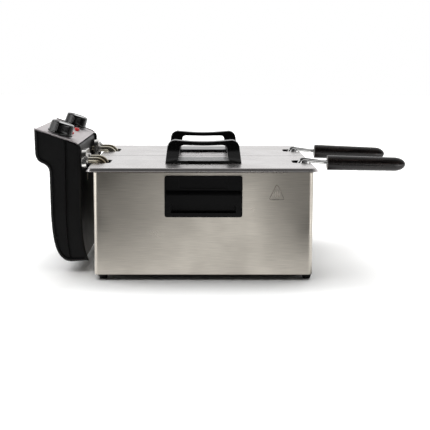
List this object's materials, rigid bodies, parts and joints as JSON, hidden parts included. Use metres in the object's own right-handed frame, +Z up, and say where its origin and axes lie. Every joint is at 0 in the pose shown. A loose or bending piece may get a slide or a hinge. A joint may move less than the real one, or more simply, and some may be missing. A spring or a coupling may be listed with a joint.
{
  "type": "deep fryer",
  "caption": "Countertop deep fryer with side-by-side lift-out tanks, lidded long-handled baskets and a hook-on control head with knobs.",
  "frame": {"origin": "middle of the fryer's outline on the worktop, handles and control head included", "axes": "+X along the basket handles, away from the control head; +Z up; the left tank is at -Y and the right tank at +Y"},
  "size_m": [0.5278, 0.367, 0.2163],
  "materials": {
    "stainless": "brushed, fine horizontal grain",
    "lid_steel": "satin, nearly polished",
    "bright_steel": "bright plated",
    "galvanised": "galvanised sheet",
    "enamel": "dark speckled enamel",
    "element": "nickel alloy tube, heat tinted",
    "black_plastic": "fine satin texture",
    "knob_plastic": "polished",
    "grip_plastic": "phenolic, faint lengthwise grain",
    "panel": "silk, warm grey",
    "rubber": "matt",
    "lamp_red": "clear red lens",
    "ceramic": "cream moulding"
  },
  "bodies": {
    "casing": {"casing_shell": "stainless", "base_plate": "galvanised", "centre_rail": "bright_steel", "head_bracket": "galvanised", "foot_left_head": "rubber", "foot_right_head": "rubber", "foot_left_handle": "rubber", "foot_right_handle": "rubber", "left_carry_handle": "black_plastic", "right_carry_handle": "black_plastic"},
    "tanks": {"left_oil_tank": "enamel", "right_oil_tank": "enamel"},
    "control_head": {"head_rear_shell": "black_plastic", "head_front_shell": "black_plastic", "control_panel": "panel", "terminal_block": "ceramic", "interlock_switch": "ceramic", "left_mounting_plate": "bright_steel", "left_heating_element": "element", "left_sensor_bulb": "element", "left_thermostat": "ceramic", "left_thermal_cutout": "ceramic", "left_lamp": "lamp_red", "left_cord_gland": "black_plastic", "right_mounting_plate": "bright_steel", "right_heating_element": "element", "right_sensor_bulb": "element", "right_thermostat": "ceramic", "right_thermal_cutout": "ceramic", "right_lamp": "lamp_red", "right_cord_gland": "black_plastic"},
    "left_knob": {"left_knob": "knob_plastic"},
    "left_reset_button": {"left_reset_button": "lamp_red"},
    "left_basket": {"left_basket": "bright_steel", "left_basket_rim": "bright_steel", "left_basket_bracket": "bright_steel", "left_drain_hook": "bright_steel", "left_handle_wire": "bright_steel", "left_grip": "grip_plastic", "left_grip_pin": "bright_steel"},
    "left_lid": {"left_lid": "lid_steel", "left_lid_handle": "black_plastic", "left_lid_screw_head_end": "bright_steel", "left_lid_screw_handle_end": "bright_steel"},
    "right_knob": {"right_knob": "knob_plastic"},
    "right_reset_button": {"right_reset_button": "lamp_red"},
    "right_basket": {"right_basket": "bright_steel", "right_basket_rim": "bright_steel", "right_basket_bracket": "bright_steel", "right_drain_hook": "bright_steel", "right_handle_wire": "bright_steel", "right_grip": "grip_plastic", "right_grip_pin": "bright_steel"},
    "right_lid": {"right_lid": "lid_steel", "right_lid_handle": "black_plastic", "right_lid_screw_head_end": "bright_steel", "right_lid_screw_handle_end": "bright_steel"}
  },
  "joints": [
    {"name": "tanks_lift", "type": "slide", "parent": "casing", "child": "tanks", "axis": [0, 0, 1], "range_m": [0, 0.14]},
    {"name": "head_lift", "type": "slide", "parent": "tanks", "child": "control_head", "axis": [0, 0, 1], "range_m": [0, 0.15]},
    {"name": "left_knob_turn", "type": "hinge", "parent": "control_head", "child": "left_knob", "pos_m": [-0.23136, -0.088, 0.19466], "axis": [0.3134, 0, 0.9496], "range_deg": [-270, 0]},
    {"name": "left_reset_press", "type": "slide", "parent": "control_head", "child": "left_reset_button", "axis": [1, 0, 0], "range_m": [0, 0.002], "stiffness_N_per_m": 400},
    {"name": "left_basket_lift", "type": "slide", "parent": "control_head", "child": "left_basket", "axis": [0, 0, 1], "range_m": [0, 0.13]},
    {"name": "left_lid_lift", "type": "slide", "parent": "left_basket", "child": "left_lid", "axis": [0, 0, 1], "range_m": [0, 0.08]},
    {"name": "right_knob_turn", "type": "hinge", "parent": "control_head", "child": "right_knob", "pos_m": [-0.23136, 0.088, 0.19466], "axis": [0.3134, 0, 0.9496], "range_deg": [-270, 0]},
    {"name": "right_reset_press", "type": "slide", "parent": "control_head", "child": "right_reset_button", "axis": [1, 0, 0], "range_m": [0, 0.002], "stiffness_N_per_m": 400},
    {"name": "right_basket_lift", "type": "slide", "parent": "control_head", "child": "right_basket", "axis": [0, 0, 1], "range_m": [0, 0.13]},
    {"name": "right_lid_lift", "type": "slide", "parent": "right_basket", "child": "right_lid", "axis": [0, 0, 1], "range_m": [0, 0.08]}
  ]
}
